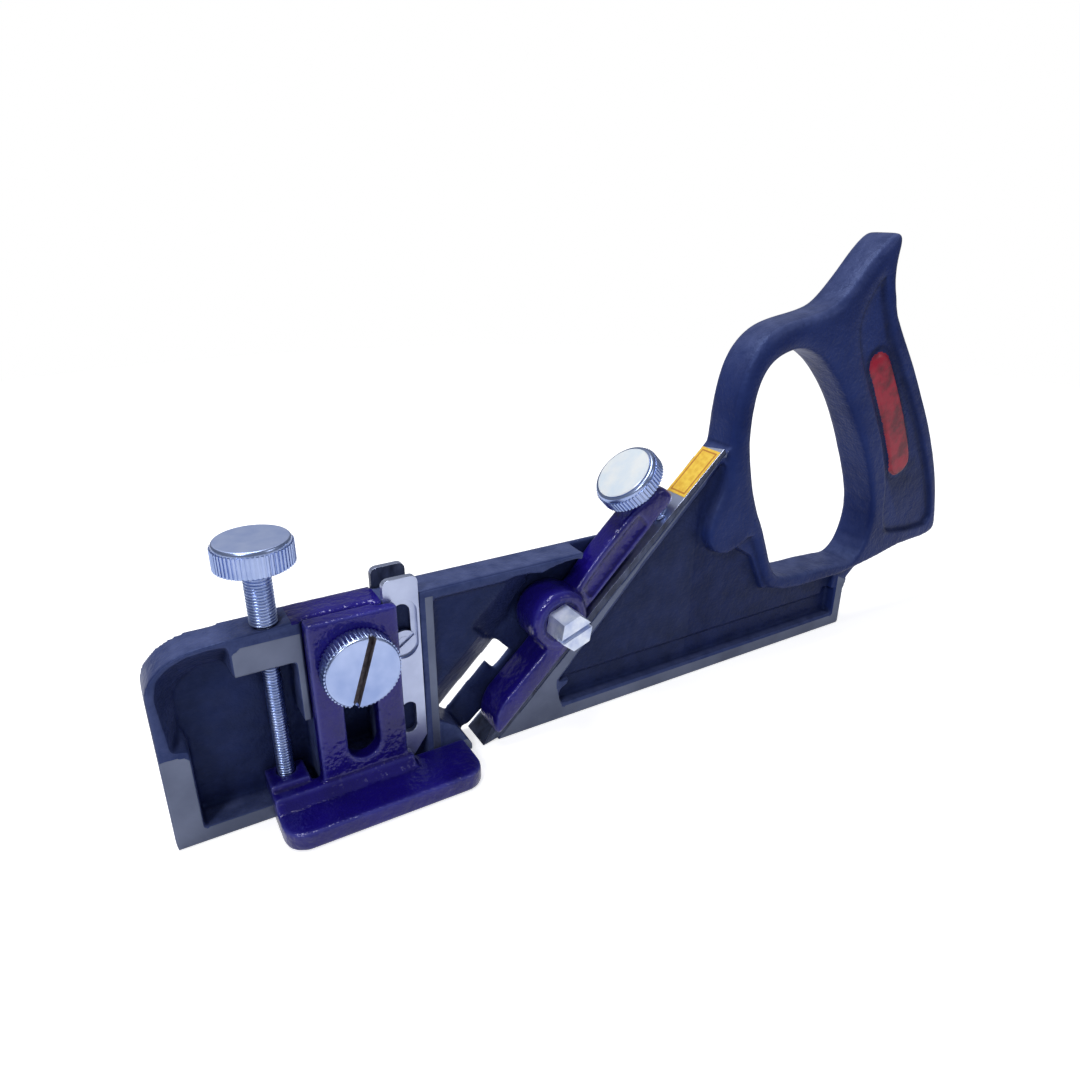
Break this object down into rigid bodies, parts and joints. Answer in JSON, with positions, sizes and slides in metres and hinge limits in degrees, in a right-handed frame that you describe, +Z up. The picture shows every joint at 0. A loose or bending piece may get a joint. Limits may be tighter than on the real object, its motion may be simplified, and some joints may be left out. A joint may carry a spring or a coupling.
{
  "type": "dado plane",
  "caption": "Narrow iron dado plane with a closed cast handle, a bedded skew-ended cutter under a lever cap, a spur on each side and a screw-adjusted depth gauge.",
  "frame": {"origin": "middle of the sole's length and width, on the sole's surface", "axes": "+X from the toe to the heel, +Z up, and the throat and the depth gauge are on the -Y side"},
  "size_m": [0.2434, 0.027, 0.1211],
  "materials": {
    "casting_paint": "semi-gloss navy enamel, machined edges bare",
    "blue_paint": "glossy ultramarine enamel over a lightly hammered casting",
    "tool_steel": "ground",
    "bright_steel": "plated and polished, knurled rims",
    "label": "printed paper, varnished"
  },
  "bodies": {
    "casting": {"body": "casting_paint"},
    "blade": {"cutter": "tool_steel", "cutter_label": "label"},
    "lever": {"lever_cap": "blue_paint"},
    "lever_screw": {"lever_cap_thumb_screw": "bright_steel"},
    "pivot": {"lever_cap_pivot_screw": "bright_steel"},
    "near_spur_strip": {"near_spur": "tool_steel"},
    "far_spur_strip": {"far_spur": "tool_steel"},
    "near_screw": {"near_spur_screw": "tool_steel"},
    "far_screw": {"far_spur_screw": "tool_steel"},
    "gauge": {"depth_gauge": "blue_paint"},
    "gauge_clamp": {"depth_gauge_clamp_screw": "bright_steel"},
    "adjuster": {"depth_adjusting_screw": "bright_steel"}
  },
  "joints": [
    {"name": "adjusting_screw_turn", "type": "hinge", "parent": "casting", "child": "adjuster", "pos_m": [-0.0768, -0.0005, 0.0462], "axis": [0, 0, -1], "range_deg": [0, 6480]},
    {"name": "gauge_slide", "type": "slide", "parent": "casting", "child": "gauge", "axis": [0, 0, 1], "range_m": [0, 0.0126]},
    {"name": "gauge_clamp_turn", "type": "hinge", "parent": "casting", "child": "gauge_clamp", "pos_m": [-0.0601, -0.006, 0.0354], "axis": [0, 1, 0], "continuous": true},
    {"name": "near_spur_slide", "type": "slide", "parent": "casting", "child": "near_spur_strip", "axis": [0, 0, 1], "range_m": [-0.0055, 0.001]},
    {"name": "far_spur_slide", "type": "slide", "parent": "casting", "child": "far_spur_strip", "axis": [0, 0, 1], "range_m": [-0.0055, 0.001]},
    {"name": "near_spur_screw_turn", "type": "hinge", "parent": "casting", "child": "near_screw", "pos_m": [-0.0482, -0.00465, 0.0355], "axis": [0, 1, 0], "continuous": true},
    {"name": "far_spur_screw_turn", "type": "hinge", "parent": "casting", "child": "far_screw", "pos_m": [-0.0482, 0.00465, 0.0355], "axis": [0, -1, 0], "continuous": true},
    {"name": "cutter_slide", "type": "slide", "parent": "casting", "child": "blade", "axis": [0.7224, 0, 0.6915], "range_m": [-0.001, 0.0015]},
    {"name": "pivot_screw_turn", "type": "hinge", "parent": "casting", "child": "pivot", "pos_m": [-0.00808, 0, 0.03146], "axis": [0, 1, 0], "continuous": true},
    {"name": "lever_cap_swing", "type": "hinge", "parent": "casting", "child": "lever", "pos_m": [-0.00808, 0, 0.03146], "axis": [0, 1, 0], "range_deg": [0, 2.2]},
    {"name": "thumb_screw_slide", "type": "slide", "parent": "lever", "child": "lever_screw", "axis": [-0.682, 0, 0.7314], "range_m": [0, 0.0016]}
  ],
  "couplings": [
    {"joint": "adjusting_screw_turn", "follows": "gauge_slide", "rad_per_m": 8976},
    {"joint": "thumb_screw_slide", "follows": "lever_cap_swing", "m_per_rad": 0.0414}
  ]
}
